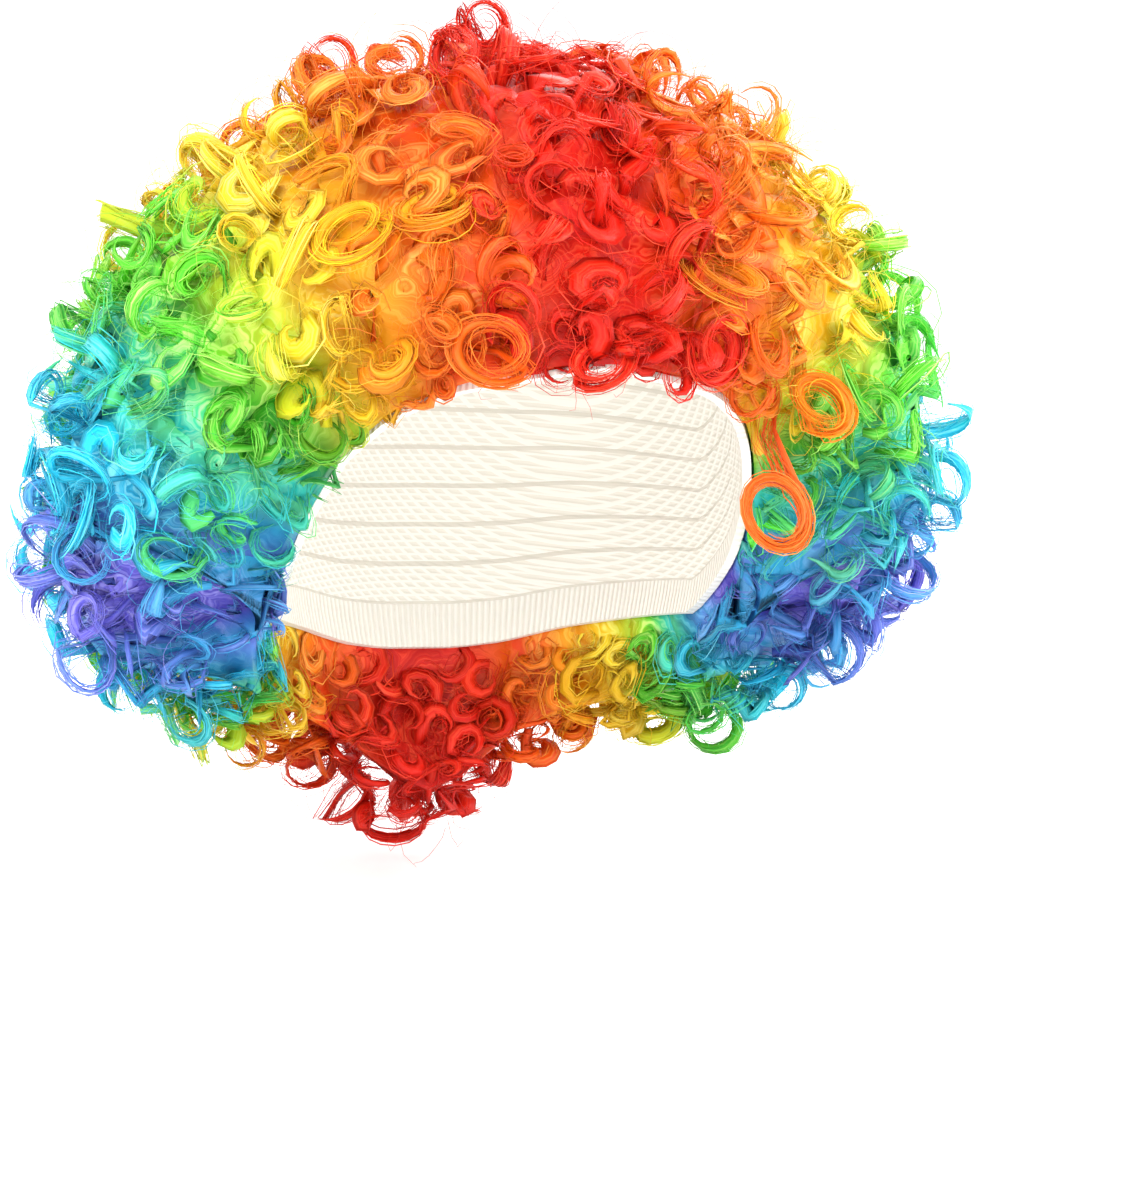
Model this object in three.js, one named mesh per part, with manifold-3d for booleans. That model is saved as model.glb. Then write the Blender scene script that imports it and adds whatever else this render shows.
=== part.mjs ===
// A rainbow afro wig: a stretch cap, and eleven panels of curled hair that are sewn on it in stripes.
// The stripes run from the forehead over the crown to the nape, and close in rings round the ears.
// Millimetres, +Z up. The wearer faces -Y, and +X is the wearer's left.
// The origin is the point inside the crown where the cap sits on top of the head.
import * as THREE from "three";
import { mergeVertices } from "three/addons/utils/BufferGeometryUtils.js";
import Module from "manifold-3d";

const wasm = await Module();
wasm.setup();

// The wearer's head, half sizes from its centre between the ears. It is the inside of the cap.
const HEAD = { side: 78, front: 98, back: 98, top: 122, bottomBack: 122, bottomSide: 122 };

// The cap's wall and its gap to the hair.
const CAP_WALL = 3;
const CAP_GAP = 0.4;

// The outside of the hair's backing, under the curls, half sizes from the head's centre.
const BACKING = { side: 150, front: 106, back: 145, top: 153, bottomBack: 164, bottomSide: 115 };

// The hairline, going round from the forehead to the nape, alike on both sides: the angle above ear level
// where the hair ends, and where the cap ends under it.
const HAIRLINE = [
  { around: 0, hairEnds: 32, capEnds: 36 },
  { around: 32, hairEnds: 28, capEnds: 32 },
  { around: 47, hairEnds: 23, capEnds: 27 },
  { around: 60, hairEnds: 13, capEnds: 18 },
  { around: 80, hairEnds: -14, capEnds: -7 },
  { around: 90, hairEnds: -28, capEnds: -16 },
  { around: 100, hairEnds: -41, capEnds: -24 },
  { around: 145, hairEnds: -48, capEnds: -30 },
  { around: 160, hairEnds: -53, capEnds: -33 },
  { around: 171, hairEnds: -61, capEnds: -34 },
  { around: 180, hairEnds: -62, capEnds: -34 },
];

// The hair thins out to this share of its depth at the hairline, over this many degrees.
const HAIRLINE_SHARE = 0.45;
const HAIRLINE_ROLL = 28;

// The stripes, going out from the middle of the head: the angle off its middle plane where each one ends in
// front, over the crown, behind and straight below. The red one lies on both sides of the middle.
const STRIPES = [
  { name: "red", front: 21, over: 13.5, behind: 21, below: 16 },
  { name: "orange", front: 39, over: 31.5, behind: 42, below: 25 },
  { name: "yellow", front: 45, over: 44, behind: 59, below: 41 },
  { name: "green", front: 64, over: 61, behind: 69, below: 58 },
  { name: "blue", front: 79, over: 79, behind: 79, below: 74 },
  { name: "violet", front: 90, over: 90, behind: 90, below: 90 },
];

// Their rows of curls as shares of a stripe's width, how far apart the curls lie in a row, and their dyes.
// The violet row is the middle of its stripe.
const ROWS = {
  red: { at: [-0.5, 0.5], apart: 46, dye: 0xe2231a },
  orange: { at: [0.5], apart: 48, dye: 0xf5761a },
  yellow: { at: [0.5], apart: 54, dye: 0xf8dc1e },
  green: { at: [0.5], apart: 60, dye: 0x4fd02f },
  blue: { at: [0.5], apart: 54, dye: 0x18b4e4 },
  violet: { at: [1], apart: 56, dye: 0x5a3cb8 },
};
const CAP_DYE = 0xe8e2d4;

// The stripes hang down towards the ears by this slope at the ear axis.
const SAG = 0.18;

// A curl is a tapered lock that grows out of the backing and winds round above it in a flat coil.
const CURL = { turn: 330, coil: 15, tighten: 0.65, root: 10, tip: 8, sink: 4, lift: 10, rise: 4, tilt: 8 };
const LOCK_SIDES = 4;
const LOCK_STEPS = 6;
const GOLDEN_TURN = 137.5;
const WHOLE_TURN = 360;

// A row of curls starts and ends this many degrees above the hairline, and its curls step from side to side
// by this share of a stripe.
const FIRST_CURL = 7;
const ZIGZAG = 0.17;

// Facets round the ear axis, the free strip at each side of a panel as a share of its stripe,
// and a reach that clears the whole wig.
const AROUND = 24;
const FREE_EDGE = 0.013;
const CLEAR = 320;

const { degToRad, radToDeg, lerp, clamp } = THREE.MathUtils;

// Evenly spread numbers from one to another.
const spread = (from, to, steps) => Array.from({ length: steps + 1 }, (_, i) => lerp(from, to, i / steps));

// The angle off the middle plane, some stripes out from it (left is positive), at a turn about the ear axis
// that is 0 at the face, 90 at the crown and 180 behind.
function stripeAngle(stripes, turn) {
  const edges = [{ front: 0, over: 0, behind: 0, below: 0 }, ...STRIPES];
  const out = Math.min(Math.floor(Math.abs(stripes)), STRIPES.length - 1);
  const angle = (column) => lerp(edges[out][column], edges[out + 1][column], Math.abs(stripes) - out);
  const height = Math.sin(degToRad(turn));
  const level = lerp(angle("front"), angle("behind"), (1 - Math.cos(degToRad(turn))) / 2);
  const off = height > 0 ? lerp(level, angle("over"), height ** 2) : lerp(level, angle("below"), -height);
  return Math.sign(stripes) * off;
}

function direction(stripes, turn) {
  const off = degToRad(stripeAngle(stripes, turn));
  const angle = degToRad(turn);
  const height = Math.cos(off) * Math.sin(angle) - SAG * Math.sin(off) ** 2;
  return new THREE.Vector3(Math.sin(off), -Math.cos(off) * Math.cos(angle), height).normalize();
}

// How far a round form reaches from the head's centre in a direction.
function reach(form, way) {
  const depth = way.y < 0 ? form.front : form.back;
  const behind = way.y > 0 ? way.y ** 2 / (way.x ** 2 + way.y ** 2) : 0;
  const height = way.z < 0 ? lerp(form.bottomSide, form.bottomBack, behind) : form.top;
  return 1 / Math.hypot(way.x / form.side, way.y / depth, way.z / height);
}

// The hairline's height at an angle round from the forehead, from one column of its table.
function hairlineHeight(around, column) {
  const next = Math.max(1, HAIRLINE.findIndex((row) => row.around >= around));
  const [low, high] = [HAIRLINE[next - 1], HAIRLINE[next]];
  return lerp(low[column], high[column], (around - low.around) / (high.around - low.around));
}

// Degrees that a direction lies above the hairline.
function aboveHairline(way) {
  const around = radToDeg(Math.atan2(Math.abs(way.x), -way.y));
  return radToDeg(Math.asin(clamp(way.z, -1, 1))) - hairlineHeight(around, "hairEnds");
}

const capInside = (way) => reach(HEAD, way);
const capOutside = (way) => capInside(way) + CAP_WALL;
const hairInside = (way) => capOutside(way) + CAP_GAP;
const lockInside = (way) => hairInside(way) + CAP_GAP;

function hairOutside(way) {
  const rolled = Math.sin((clamp(aboveHairline(way) / HAIRLINE_ROLL, 0, 1) * Math.PI) / 2);
  return lerp(hairInside(way), reach(BACKING, way), lerp(HAIRLINE_SHARE, 1, rolled));
}

// A closed solid from a three.js geometry: shared corners merged, flat slivers dropped, faces outwards.
function solid(geometry) {
  geometry.deleteAttribute("normal");
  geometry.deleteAttribute("uv");
  const merged = mergeVertices(geometry, 1e-3);
  const corners = merged.index.array;
  const vertProperties = merged.attributes.position.array;
  const point = (index) => new THREE.Vector3().fromArray(vertProperties, 3 * index);
  const triangles = [];
  let volume = 0;
  for (let i = 0; i < corners.length; i += 3) {
    const [a, b, c] = corners.slice(i, i + 3);
    if (a === b || b === c || c === a) continue;
    triangles.push([a, b, c]);
    volume += point(a).dot(point(b).cross(point(c)));
  }
  if (volume < 0) triangles.forEach((triangle) => triangle.reverse());
  const triVerts = new Uint32Array(triangles.flat());
  return new wasm.Manifold(new wasm.Mesh({ numProp: 3, vertProperties, triVerts }));
}

// A shell round the ear axis. Its section goes out through one list of places, counted in stripes from the
// middle, at one reach, and comes back through another list at another reach.
function shell(outPlaces, outReach, backPlaces, backReach) {
  const evenStripe = 90 / STRIPES.length;
  const outMark = 1;
  const backMark = 2;
  const corner = (stripes, mark) => {
    const off = degToRad(stripes * evenStripe);
    return new THREE.Vector2(mark * Math.cos(off), mark * Math.sin(off));
  };
  const section = [
    ...outPlaces.map((stripes) => corner(stripes, outMark)),
    ...backPlaces.map((stripes) => corner(stripes, backMark)),
    corner(outPlaces[0], outMark),
  ];
  const geometry = new THREE.LatheGeometry(section, AROUND).rotateZ(-Math.PI / 2);
  const places = geometry.attributes.position;
  for (let i = 0; i < places.count; i += 1) {
    const mark = new THREE.Vector3().fromBufferAttribute(places, i);
    const reachHere = mark.length() < (outMark + backMark) / 2 ? outReach : backReach;
    const stripes = radToDeg(Math.asin(clamp(mark.x / mark.length(), -1, 1))) / evenStripe;
    const way = direction(stripes, radToDeg(Math.atan2(mark.z, -mark.y)));
    places.setXYZ(i, ...way.multiplyScalar(reachHere(way)));
  }
  return solid(geometry);
}

// All that lies below the hairline, as a wavy cone from the head's centre.
function belowHairline(column) {
  const columns = 48;
  const rings = 8;
  const geometry = new THREE.SphereGeometry(1, columns, rings);
  const places = geometry.attributes.position;
  for (let i = 0; i < places.count; i += 1) {
    const ring = Math.floor(i / (columns + 1));
    const turn = ((i % (columns + 1)) * WHOLE_TURN) / columns;
    const edge = hairlineHeight(Math.abs(WHOLE_TURN / 2 - turn), column);
    const height = degToRad(lerp(edge, -90, Math.max(0, ring - 1) / (rings - 1)));
    const far = ring === 0 ? 0 : CLEAR;
    const level = far * Math.cos(height);
    const angle = degToRad(turn);
    places.setXYZ(i, level * Math.sin(angle), level * Math.cos(angle), far * Math.sin(height));
  }
  return solid(geometry);
}

// One curl on its foot point, with its coil's axis leaning from the way out.
function curl(foot, out, spin, tilt) {
  const geometry = new THREE.CylinderGeometry(1, 1, 1, LOCK_SIDES, LOCK_STEPS);
  const places = geometry.attributes.position;
  for (let i = 0; i < places.count; i += 1) {
    const along = places.getY(i) + 0.5;
    const thick = lerp(CURL.root, CURL.tip, along);
    const turn = degToRad(CURL.turn * along);
    const coil = CURL.coil * lerp(1, CURL.tighten, along) + thick * places.getX(i);
    const stem = lerp(-CURL.sink, CURL.lift, Math.min(1, along * LOCK_STEPS));
    const height = stem + CURL.rise * along + thick * places.getZ(i);
    places.setXYZ(i, coil * Math.cos(turn), coil * Math.sin(turn), height);
  }
  const outwards = new THREE.Quaternion().setFromUnitVectors(new THREE.Vector3(0, 0, 1), out);
  geometry.rotateX(degToRad(tilt)).rotateZ(degToRad(spin)).applyQuaternion(outwards);
  return solid(geometry.translate(foot.x, foot.y, foot.z));
}

// The turn about the ear axis, in whole degrees from the face upwards, where a stripe place first has hair,
// and where it ends. A place that has hair all the way round gets a whole turn.
function hairyTurns(place) {
  const wholeDegrees = Array.from({ length: WHOLE_TURN }, (_, i) => i - 90);
  const turns = wholeDegrees.filter((turn) => aboveHairline(direction(place, turn)) > FIRST_CURL);
  return { first: turns[0], last: turns[turns.length - 1] };
}

// A zigzag row of curls at a stripe place, from the forehead to the nape or all the way round.
function curlRow(place, apart) {
  const { first, last } = hairyTurns(place);
  const ring = BACKING.side * Math.cos(degToRad(stripeAngle(place, 90)));
  const steps = Math.max(1, Math.round((degToRad(last - first) * ring) / apart));
  const closed = last - first === WHOLE_TURN - 1;
  const count = closed ? steps : steps + 1;
  return Array.from({ length: count }, (_, i) => {
    const aside = i % 2 ? ZIGZAG : -ZIGZAG;
    const out = direction(place + aside, lerp(first, last, i / steps));
    const spin = GOLDEN_TURN * (i + place);
    const tilt = CURL.tilt * Math.sin(degToRad(spin));
    return curl(out.clone().multiplyScalar(hairOutside(out)), out, spin, tilt);
  });
}

// The biggest body of a solid, without crumbs.
function biggest(body) {
  const bodies = body.decompose();
  return bodies.reduce((best, next) => (next.volume() > best.volume() ? next : best));
}

function part(name, body, dye) {
  const { vertProperties, triVerts } = body.getMesh();
  const geometry = new THREE.BufferGeometry();
  geometry.setAttribute("position", new THREE.BufferAttribute(vertProperties, 3));
  geometry.setIndex(new THREE.BufferAttribute(triVerts, 1));
  geometry.computeVertexNormals();
  const material = new THREE.MeshStandardMaterial({ color: dye, roughness: 0.55, metalness: 0 });
  const mesh = new THREE.Mesh(geometry, material);
  mesh.name = name;
  return mesh;
}

// The cap, with its section's corners under the panels' edges so that the two lie flat on each other.
function cap() {
  const last = STRIPES.length;
  const sideEdges = spread(1, last, last - 1);
  const middle = [-1 / 3, 1 / 3];
  const places = [...sideEdges.map((stripes) => -stripes).reverse(), ...middle, ...sideEdges];
  const wall = shell(places, capInside, [...places].reverse(), capOutside);
  return part("cap", wall.subtract(belowHairline("capEnds")), CAP_DYE);
}

// A hair panel, some stripes out on one side: its backing with its curls joined on.
function hairPanel(name, rows, out, side, cut) {
  const middle = out === 0;
  const ends = middle ? [-1, 1] : [side * out, side * (out + 1)].sort((a, b) => a - b);
  const insideSteps = middle ? 3 : 1;
  const outsideSteps = middle ? 3 : 2;
  const edge = (place, inwards) => (Math.abs(place) === STRIPES.length ? place : place + inwards);
  const [start, end] = [edge(ends[0], FREE_EDGE), edge(ends[1], -FREE_EDGE)];
  const [low, high] = [edge(start, FREE_EDGE), edge(end, -FREE_EDGE)];
  const inside = spread(end, start, insideSteps);
  const backing = shell(spread(start, end, outsideSteps), hairOutside, inside, hairInside);
  const room = shell([low, high], () => CLEAR, spread(high, low, insideSteps), lockInside);
  const locks = rows.at.flatMap((share) => curlRow(side * (out + share), rows.apart));
  const panel = locks.reduce((body, lock) => body.add(lock.intersect(room)), backing.subtract(cut));
  return part(name, biggest(panel), rows.dye);
}

const wig = new THREE.Group();
wig.position.z = -HEAD.top;
wig.add(cap());
const hairCut = belowHairline("hairEnds");
STRIPES.forEach((stripe, out) => {
  const name = `hair_${stripe.name}`;
  const rows = ROWS[stripe.name];
  wig.add(hairPanel(out === 0 ? name : `${name}_left`, rows, out, 1, hairCut));
  if (out > 0) wig.add(hairPanel(`${name}_right`, rows, out, -1, hairCut));
});

export default wig;
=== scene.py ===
import math

import bpy
import numpy as np
from mathutils import Matrix, Vector


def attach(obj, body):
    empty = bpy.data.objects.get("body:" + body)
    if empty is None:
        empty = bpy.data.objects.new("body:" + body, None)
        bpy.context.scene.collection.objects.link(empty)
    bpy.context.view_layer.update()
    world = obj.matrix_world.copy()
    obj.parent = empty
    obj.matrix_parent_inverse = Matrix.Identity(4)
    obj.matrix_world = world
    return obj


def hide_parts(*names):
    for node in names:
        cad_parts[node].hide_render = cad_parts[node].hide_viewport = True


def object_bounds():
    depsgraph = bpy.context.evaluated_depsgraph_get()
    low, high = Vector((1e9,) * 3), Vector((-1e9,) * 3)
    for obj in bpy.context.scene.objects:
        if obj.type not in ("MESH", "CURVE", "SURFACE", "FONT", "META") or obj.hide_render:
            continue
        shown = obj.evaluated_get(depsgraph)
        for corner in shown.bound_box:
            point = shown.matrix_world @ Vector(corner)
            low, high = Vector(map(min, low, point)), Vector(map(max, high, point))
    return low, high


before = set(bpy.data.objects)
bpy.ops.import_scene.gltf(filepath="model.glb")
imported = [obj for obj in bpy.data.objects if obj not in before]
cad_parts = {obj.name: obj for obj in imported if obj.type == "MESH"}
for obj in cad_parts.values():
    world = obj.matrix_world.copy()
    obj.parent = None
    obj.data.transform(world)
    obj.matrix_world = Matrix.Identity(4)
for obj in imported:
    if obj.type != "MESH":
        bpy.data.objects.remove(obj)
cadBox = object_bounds()
print("frame loaded:", len(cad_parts), "nodes")

# The wig's form, in metres from the middle of the head between the ears. +Z up, the face looks along -Y.
wigForm = {
    "middle": (0, 0, -0.122),  # from the seat inside the crown
    "head": {
        "side": 0.078, "front": 0.098, "back": 0.098, "top": 0.122, "bottom": 0.122, "bottomSide": 0.122,
    },
    "backing": {
        "side": 0.150, "front": 0.106, "back": 0.145, "top": 0.153, "bottom": 0.164, "bottomSide": 0.115,
    },
    "capWall": 0.003,
    "hairGap": 0.0004,
    "hairlineShare": 0.45,  # of the hair's depth, at the hairline
    "hairlineRoll": 28,  # degrees over which the hair gets its whole depth
    "sag": 0.18,  # slope of the stripes towards the ears
}
# Round from the forehead to the nape: degrees above ear level where the hair and the cap end.
hairline = {
    "around": (0, 32, 47, 60, 80, 90, 100, 145, 160, 171, 180),
    "hairEnds": (32, 28, 23, 13, -14, -28, -41, -48, -53, -61, -62),
    "capEnds": (36, 32, 27, 18, -7, -16, -24, -30, -33, -34, -34),
}
# Degrees off the middle plane where the stripes end, in front, over the crown, behind and straight below.
stripeEdges = {
    "front": (0, 21, 39, 45, 64, 79, 90),
    "over": (0, 13.5, 31.5, 44, 61, 79, 90),
    "behind": (0, 21, 42, 59, 69, 79, 90),
    "below": (0, 16, 25, 41, 58, 74, 90),
}
middle = np.array(wigForm["middle"])


def unit(v):
    return v / np.maximum(np.linalg.norm(v, axis=-1, keepdims=True), 1e-12)


def smooth(x):
    x = np.clip(x, 0, 1)
    return x * x * (3 - 2 * x)


def edgesAt(turn):
    front, over, behind, below = (np.array(stripeEdges[key]) for key in ("front", "over", "behind", "below"))
    angle = np.radians(turn)[..., None]
    level = front + (behind - front) * (1 - np.cos(angle)) / 2
    up, down = np.maximum(0, np.sin(angle)) ** 2, np.maximum(0, -np.sin(angle))
    return level + (over - level) * up + (below - level) * down


# A direction from a stripe place (stripes out from the middle, left positive) and a turn about the ear axis.
def wayAt(place, turn):
    place, turn = np.broadcast_arrays(np.asarray(place, float), np.asarray(turn, float))
    edges = edgesAt(turn)
    out = np.minimum(np.abs(place).astype(int), 5)
    low = np.take_along_axis(edges, out[..., None], -1)[..., 0]
    high = np.take_along_axis(edges, out[..., None] + 1, -1)[..., 0]
    off = np.sign(place) * np.radians(low + (high - low) * (np.abs(place) - out))
    angle = np.radians(turn)
    height = np.cos(off) * np.sin(angle) - wigForm["sag"] * np.sin(off) ** 2
    return unit(np.stack([np.sin(off), -np.cos(off) * np.cos(angle), height], -1))


# And back: the stripe place and the turn of a direction.
def placeOf(way):
    x, y, z = way[..., 0], way[..., 1], way[..., 2]
    sag = wigForm["sag"]
    long = np.ones_like(x)
    for _ in range(20):
        long = 1 / np.sqrt(1 + 2 * sag * long * x * x * z + (sag * long * x * x) ** 2)
    turn = np.degrees(np.arctan2(long * z + sag * (long * x) ** 2, -long * y))
    turn = np.where(turn < -90, turn + 360, turn)
    off = np.degrees(np.arcsin(np.clip(long * np.abs(x), 0, 1)))
    edges = edgesAt(turn)
    place = np.clip((off[..., None] - edges[..., :-1]) / np.diff(edges, axis=-1), 0, 1).sum(-1)
    return np.sign(x) * place, turn


def reach(form, way):
    depth = np.where(way[..., 1] < 0, form["front"], form["back"])
    behind = np.clip(way[..., 1], 0, 1) ** 2 / np.maximum(way[..., 0] ** 2 + way[..., 1] ** 2, 1e-9)
    bottom = form["bottomSide"] + (form["bottom"] - form["bottomSide"]) * behind
    height = np.where(way[..., 2] < 0, bottom, form["top"])
    return 1 / np.linalg.norm(way / np.stack([np.full_like(depth, form["side"]), depth, height], -1), axis=-1)


def aboveHairline(way, column="hairEnds"):
    around = np.degrees(np.arctan2(np.abs(way[..., 0]), -way[..., 1]))
    height = np.degrees(np.arcsin(np.clip(way[..., 2], -1, 1)))
    return height - np.interp(around, hairline["around"], hairline[column])


def hairInside(way):
    return reach(wigForm["head"], way) + wigForm["capWall"] + wigForm["hairGap"]


def hairOutside(way):
    rolled = np.sin(np.clip(aboveHairline(way) / wigForm["hairlineRoll"], 0, 1) * np.pi / 2)
    share = wigForm["hairlineShare"] + (1 - wigForm["hairlineShare"]) * rolled
    inside = hairInside(way)
    return inside + (reach(wigForm["backing"], way) - inside) * share


# sRGB levels to linear colour, used for dyes and for the painted shade and highlight colours alike
def dye(red, green, blue):
    levels = np.array((red, green, blue)) / 255
    return (*np.where(levels < 0.04045, levels / 12.92, ((levels + 0.055) / 1.055) ** 2.4), 1)


# Joined closed tubes from rings of points (tubes, steps, sides, 3), gathered in a pile.
tubeMaps = {
    "repeat": 0.02,  # metres along a lock for each whole step of its streaks
    "shift": 0.618034,  # between the streaks of one lock and the next
    "aside": 7,  # times that shift, round the lock
    "sideEdge": 0.06,  # shares of a lock's own field in the bake map, from here on
    "endEdge": 0.12,
    "endAt": 0.06,
    "endWide": 0.2,
    "endHigh": 0.03,
}


def newPile():
    lists = {key: [] for key in ("points", "corners", "starts", "maps", "tones", "swirls")}
    return {**lists, "pointCount": 0, "cornerCount": 0, "tubes": 0}


def addFaces(pile, faces, uv, tube, lengths, girth):
    pile["corners"].append(faces.reshape(-1))
    pile["starts"].append(pile["cornerCount"] + faces.shape[-1] * np.arange(faces.size // faces.shape[-1]))
    pile["cornerCount"] += faces.size
    parts = [uv[..., 0], uv[..., 1], tube, lengths, np.full(faces.shape, girth)]
    pile["maps"].append(np.stack([np.broadcast_to(part, faces.shape) for part in parts], -1).reshape(-1, 5))


def addTubes(pile, rings, tones, lengths, girth, swirl=0):
    tubes, steps, sides, _ = rings.shape
    ids = pile["pointCount"] + np.arange(tubes * steps * sides).reshape(tubes, steps, sides)
    pile["points"].append(rings.reshape(-1, 3))
    pile["tones"].append(np.broadcast_to(tones, (*rings.shape[:3], 4)).reshape(-1, 4))
    pile["swirls"].append(np.full(ids.size, swirl))
    near, far = ids[:, :-1], ids[:, 1:]
    walls = np.stack([near, np.roll(near, -1, 2), np.roll(far, -1, 2), far], -1)
    step, side = np.meshgrid(np.arange(steps - 1), np.arange(sides), indexing="ij")
    around = np.stack([side, side + 1, side + 1, side], -1) / sides
    along = np.stack([step, step, step + 1, step + 1], -1) / (steps - 1)
    tube = pile["tubes"] + np.arange(tubes)
    perWall = (slice(None), None, None, None)
    addFaces(pile, walls, np.stack([around, along], -1), tube[perWall], lengths[perWall], girth)
    turn = np.arange(sides) * 2 * np.pi / sides
    for ring, level in ((ids[:, 0, ::-1], -tubeMaps["endAt"]), (ids[:, -1], 1 + tubeMaps["endAt"])):
        across = 0.5 + tubeMaps["endWide"] * np.cos(turn)
        up = level + tubeMaps["endHigh"] * np.sin(turn)
        addFaces(pile, ring, np.stack([across, up], -1), tube[:, None], lengths[:, None], girth)
    pile["pointCount"] += ids.size
    pile["tubes"] += tubes


def buildPile(pile, name):
    points = np.concatenate(pile["points"]) + middle
    corners, starts = np.concatenate(pile["corners"]), np.concatenate(pile["starts"])
    mesh = bpy.data.meshes.new(name)
    mesh.vertices.add(len(points))
    mesh.vertices.foreach_set("co", points.astype(np.float32).ravel())
    mesh.loops.add(len(corners))
    mesh.loops.foreach_set("vertex_index", corners.astype(np.int32))
    mesh.polygons.add(len(starts))
    mesh.polygons.foreach_set("loop_start", starts.astype(np.int32))
    mesh.update(calc_edges=True)
    mesh.polygons.foreach_set("use_smooth", np.ones(len(starts), bool))
    around, along, tube, lengths, girth = np.concatenate(pile["maps"]).T
    # one map runs round and along each lock, in the other each lock has a field of its own
    shift = tube * tubeMaps["shift"] % 1
    streaksAlong = along * lengths / tubeMaps["repeat"]
    strandMap = np.stack([around * girth + tubeMaps["aside"] * shift, streaksAlong + shift], -1)
    fields = math.ceil(math.sqrt(pile["tubes"]))
    inField = tubeMaps["sideEdge"] + (1 - 2 * tubeMaps["sideEdge"]) * around
    upField = tubeMaps["endEdge"] + (1 - 2 * tubeMaps["endEdge"]) * along
    bakeMap = np.stack([tube % fields + inField, tube // fields + upField], -1) / fields
    for mapName, values in (("strand", strandMap), ("OFBake", bakeMap)):
        mesh.uv_layers.new(name=mapName).data.foreach_set("uv", values.astype(np.float32).ravel())
    tones = mesh.attributes.new("tone", "FLOAT_COLOR", "POINT")
    tones.data.foreach_set("color", np.concatenate(pile["tones"]).astype(np.float32).ravel())
    swirls = mesh.attributes.new("swirl", "FLOAT", "POINT")
    swirls.data.foreach_set("value", np.concatenate(pile["swirls"]).astype(np.float32))
    piece = bpy.data.objects.new(name, mesh)
    bpy.context.scene.collection.objects.link(piece)
    print(name, "triangles:", len(corners) - 2 * len(starts))
    return piece


# Curls. Lengths in metres, turns in whole turns, each pair is smallest and largest.
outerCurls = {
    "tries": 50000,  # directions that feet are picked from
    "above": 5,  # degrees over the hairline
    "apart": 0.0166,  # between the feet of the curls
    "coil": (0.0062, 0.0118),
    "turns": (0.85, 1.15),
    "rise": (0.003, 0.010),  # along the coil's axis
    "lift": (0.004, 0.011),  # of the coil's middle over the backing
    "deep": (0.006, 0.010),  # of the band of hair
    "standing": 0.35,  # share of coils that stand on the head and show a ring
    "flat": (0.35, 1.0),  # of standing coils, from a tube to a spiral
    "core": {"each": 1, "wide": 0.7, "thick": 0.0012, "sides": 4, "steps": 15, "fray": 0.0002, "girth": 1.6},
    "hairs": {"each": 16, "wide": 0, "thick": 0.00042, "sides": 3, "steps": 14, "fray": 0.0011, "girth": 0.2},
}
underCurls = {
    "tries": 50000,
    "above": 5,
    "apart": 0.0168,
    "coil": (0.0070, 0.0115),
    "turns": (0.8, 1.1),
    "rise": (0.001, 0.005),
    "lift": (0.001, 0.005),
    "deep": (0.010, 0.014),
    "standing": 1,
    "flat": (0.8, 1.0),
    "core": {"each": 1, "wide": 0.7, "thick": 0.0014, "sides": 4, "steps": 11, "fray": 0.0003, "girth": 2},
    "hairs": {"each": 3, "wide": 0, "thick": 0.00045, "sides": 3, "steps": 10, "fray": 0.0020, "girth": 0.2},
}
rimCurls = {
    "tries": 160000,
    "above": (2.5, 9),
    "within": (0.1, 0.95),  # share of the hair's depth where the feet are
    "outward": 0.1,
    "droop": 0.6,
    "apart": 0.0108,
    "coil": (0.0055, 0.0095),
    "turns": (0.8, 1.2),
    "rise": (0.002, 0.008),
    "lift": (-0.001, 0.003),
    "deep": (0.006, 0.010),
    "standing": 0.8,
    "flat": (0.3, 0.9),
    "core": {"each": 1, "wide": 0.42, "thick": 0.0012, "sides": 4, "steps": 12, "fray": 0.0002, "girth": 1.4},
    "hairs": {"each": 10, "wide": 0, "thick": 0.0004, "sides": 3, "steps": 12, "fray": 0.0009, "girth": 0.2},
}
napeCurls = {
    **underCurls,
    "above": 4,
    "underCap": 2,  # degrees
    "off": 0.004,  # from the room for the head
    "apart": 0.0118,
    "core": {"each": 1, "wide": 0.5, "thick": 0.0012, "sides": 4, "steps": 11, "fray": 0.0003, "girth": 2},
    "hairs": {"each": 9, "wide": 0, "thick": 0.00045, "sides": 3, "steps": 10, "fray": 0.0016, "girth": 0.2},
}
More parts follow.
